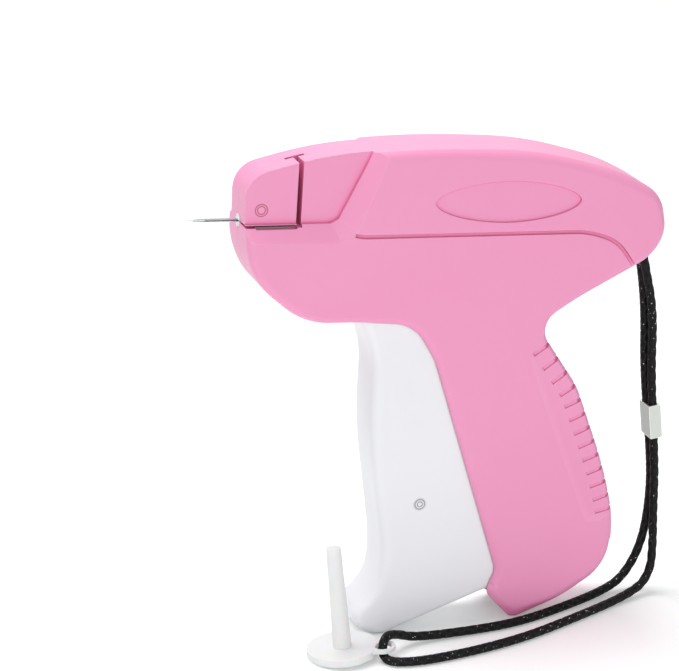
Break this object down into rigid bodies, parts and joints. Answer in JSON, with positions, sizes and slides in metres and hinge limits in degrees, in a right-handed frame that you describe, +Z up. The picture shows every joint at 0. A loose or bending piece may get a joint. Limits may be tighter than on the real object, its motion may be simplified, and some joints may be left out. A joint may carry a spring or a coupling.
{
  "type": "garment tag attacher",
  "caption": "Hand-held garment tag attacher: pistol-shaped pink casing, white squeeze trigger with linkage, slotted needle, corded wrist strap with slider, and a taken-off needle cap.",
  "frame": {"origin": "on the floor, midway between the needle's point and the tail, on the casing's joint plane", "axes": "+X from the needle's point towards the tail, +Y towards the tool's right side, +Z up; the tool stands on its trigger toe and handle foot"},
  "size_m": [0.1748, 0.051, 0.1753],
  "materials": {
    "casing_pink": "satin moulded plastic",
    "trigger_white": "satin moulded plastic",
    "hub_white": "moulded plastic",
    "inner_white": "moulded plastic",
    "pin_white": "moulded plastic",
    "steel": "bright steel",
    "needle_steel": "ground and polished",
    "screw_steel": "plated",
    "lock_pink": "satin moulded plastic",
    "strap_black": "braided cord",
    "slider_silver": "brushed",
    "cap_clear": "milky moulded plastic"
  },
  "bodies": {
    "casing": {"left_shell": "casing_pink", "right_shell": "casing_pink", "nose_guide": "casing_pink", "trigger_pivot_pin": "steel", "lever_pivot_pin": "steel", "feed_axle": "steel", "cutter_blade": "steel", "needle": "needle_steel", "needle_hub": "hub_white", "shell_screws": "screw_steel", "strap_anchor": "inner_white", "wrist_strap": "strap_black", "strap_slider": "slider_silver", "needle_cap": "cap_clear"},
    "trigger": {"trigger": "trigger_white", "link_pin": "pin_white"},
    "link": {"push_link": "inner_white"},
    "lever": {"drive_lever": "inner_white", "lever_foot_pin": "steel", "return_spring": "steel"},
    "slide": {"ejector_slide": "inner_white", "slide_pin": "steel", "ejector_rod": "steel"},
    "wheel": {"feed_wheel": "inner_white"},
    "lock": {"needle_lock": "lock_pink", "needle_lock_pin": "lock_pink"}
  },
  "joints": [
    {"name": "trigger_turn", "type": "hinge", "parent": "casing", "child": "trigger", "pos_m": [-0.00159, 0, 0.12534], "axis": [0, -1, 0], "range_deg": [0, 13.5], "stiffness_Nm_per_rad": 2, "springref_deg": -17.19},
    {"name": "lever_turn", "type": "hinge", "parent": "casing", "child": "lever", "pos_m": [0.0339, 0, 0.06897], "axis": [0, -1, 0], "range_deg": [0, 22.5]},
    {"name": "link_turn", "type": "hinge", "parent": "trigger", "child": "link", "pos_m": [-0.00381, 0, 0.04808], "axis": [0, -1, 0], "range_deg": [-21, 0]},
    {"name": "slide_travel", "type": "slide", "parent": "casing", "child": "slide", "axis": [-0.998, 0, 0.0636], "range_m": [0, 0.0331]},
    {"name": "wheel_turn", "type": "hinge", "parent": "casing", "child": "wheel", "pos_m": [-0.04611, 0.0039, 0.16265], "axis": [0.998, 0, -0.0636], "range_deg": [0, 45.1]},
    {"name": "lock_turn", "type": "hinge", "parent": "casing", "child": "lock", "pos_m": [-0.05916, 0.0085, 0.15837], "axis": [0, -1, 0], "range_deg": [0, 60]}
  ],
  "couplings": [
    {"joint": "lever_turn", "follows": "trigger_turn", "ratio": 1.6619},
    {"joint": "link_turn", "follows": "trigger_turn", "ratio": -1.552},
    {"joint": "slide_travel", "follows": "trigger_turn", "m_per_rad": 0.14006},
    {"joint": "wheel_turn", "follows": "trigger_turn", "ratio": 3.3333}
  ]
}
